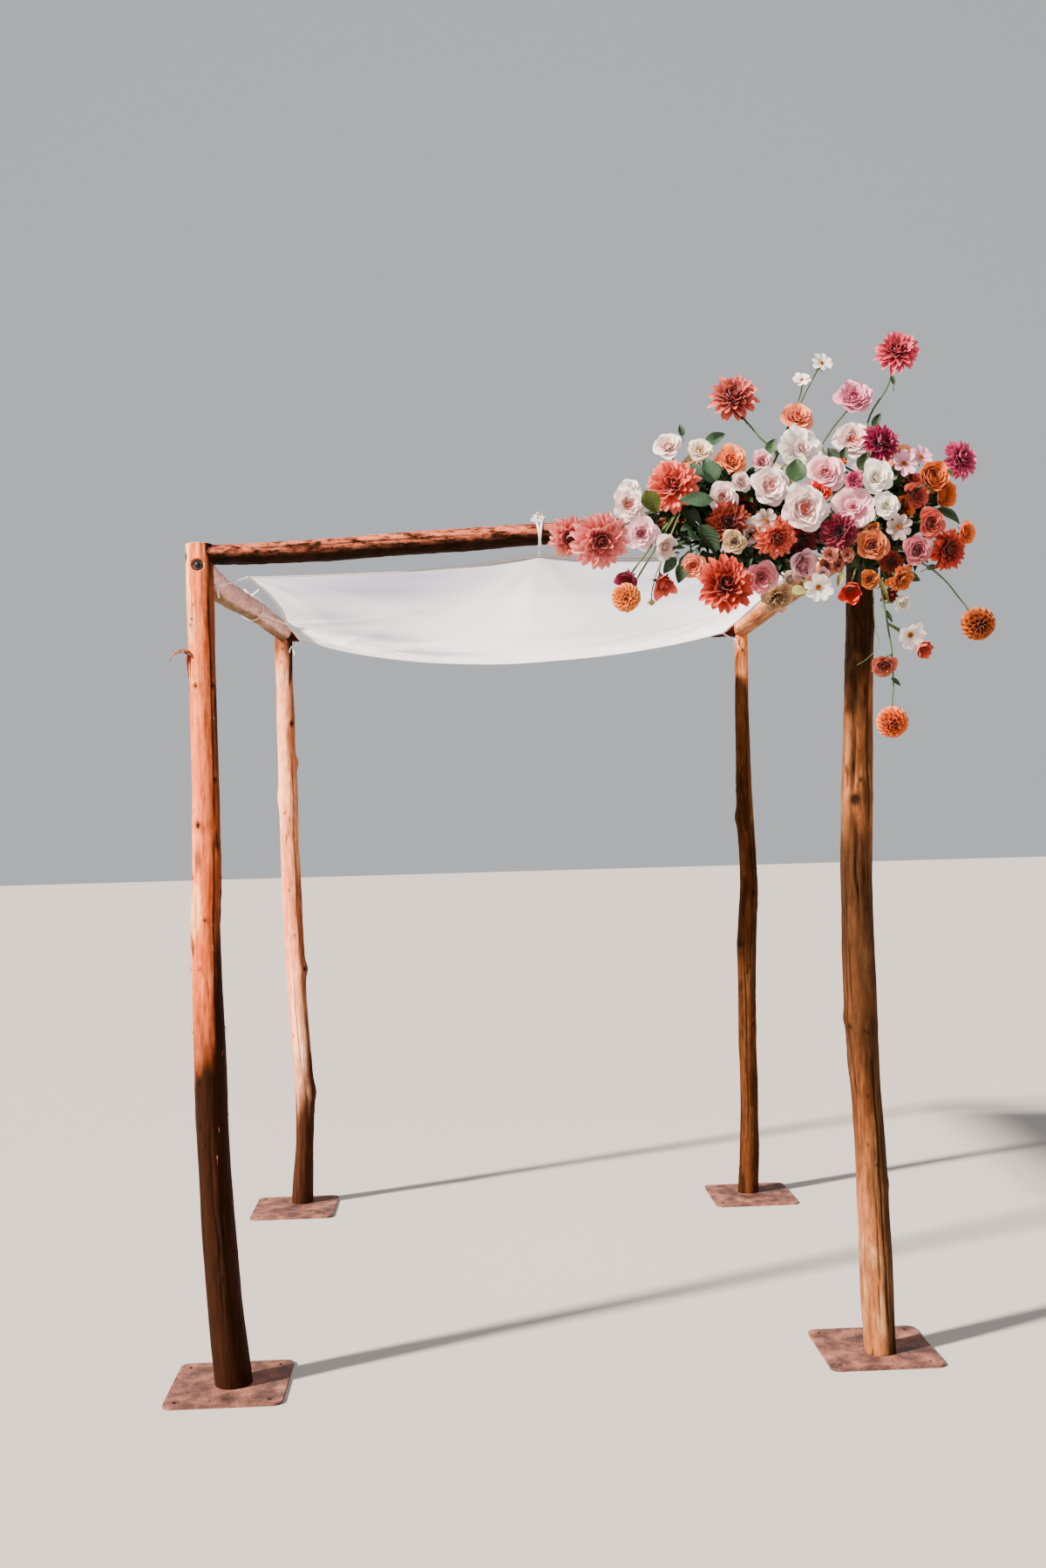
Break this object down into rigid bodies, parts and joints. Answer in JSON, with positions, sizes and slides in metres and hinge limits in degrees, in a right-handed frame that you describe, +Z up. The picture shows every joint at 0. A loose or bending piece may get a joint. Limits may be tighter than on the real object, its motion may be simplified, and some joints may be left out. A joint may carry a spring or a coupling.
{
  "type": "rustic log chuppah canopy with hung cloth and cut flowers",
  "caption": "Square open canopy of rough log posts and beams on steel base plates, with a white cloth hung inside the top and a cut flower arrangement on the front corner.",
  "frame": {"origin": "on the ground under the middle of the whole object's box, flowers included", "axes": "+X to the right as seen from the flowered front, +Y to the back, +Z up"},
  "size_m": [2.4096, 2.2914, 2.9812],
  "materials": {
    "peeled_log": "rough log, bark stripped in strips, weathered orange brown",
    "bark_log": "rough log with flaking dark red bark",
    "pale_log": "smooth peeled log, pale pinkish grey",
    "base_plate": "rusted red brown steel plate",
    "bolt_steel": "dark weathered steel",
    "cotton_cloth": "plain white cotton with a narrow rolled hem",
    "cotton_tie": "white cotton tape",
    "foam_holder": "dark green floral foam in a plastic cage",
    "coral_petals": "fresh petals, coral",
    "blush_petals": "fresh petals, blush pink",
    "white_petals": "fresh petals, white",
    "orange_petals": "fresh petals, orange",
    "magenta_petals": "fresh petals, magenta",
    "leaf_green": "fresh leaves",
    "stem_green": "fresh green stems"
  },
  "bodies": {
    "root": {"front_left_post": "peeled_log", "front_right_post": "peeled_log", "back_left_post": "peeled_log", "back_right_post": "peeled_log", "front_beam": "bark_log", "back_beam": "bark_log", "left_beam": "pale_log", "right_beam": "pale_log", "front_left_base_plate": "base_plate", "front_right_base_plate": "base_plate", "back_left_base_plate": "base_plate", "back_right_base_plate": "base_plate", "front_left_beam_bolt": "bolt_steel", "front_left_side_bolt": "bolt_steel", "front_right_beam_bolt": "bolt_steel", "front_right_side_bolt": "bolt_steel", "back_left_post_bolt": "bolt_steel", "back_left_beam_bolt": "bolt_steel", "back_right_post_bolt": "bolt_steel", "back_right_beam_bolt": "bolt_steel", "canopy_cloth": "cotton_cloth", "front_middle_tie": "cotton_tie", "left_middle_tie": "cotton_tie", "right_middle_tie": "cotton_tie", "front_left_tie": "cotton_tie", "front_right_tie": "cotton_tie", "back_left_tie": "cotton_tie", "back_right_tie": "cotton_tie", "flower_holder_left": "foam_holder", "flower_holder_right": "foam_holder", "left_tip_spray": "coral_petals", "left_drop_spray": "orange_petals", "low_dahlia_spray": "coral_petals", "left_crown_spray": "blush_petals", "tall_left_spray": "coral_petals", "centre_crown_spray": "white_petals", "centre_face_spray": "blush_petals", "tall_right_spray": "coral_petals", "right_crown_spray": "magenta_petals", "right_wing_spray": "magenta_petals", "right_face_spray": "blush_petals", "right_low_spray": "orange_petals", "spray_rose_cluster": "white_petals", "hanging_spray": "orange_petals", "side_drop_spray": "orange_petals", "back_left_spray": "blush_petals", "back_right_spray": "coral_petals"}
  },
  "joints": []
}
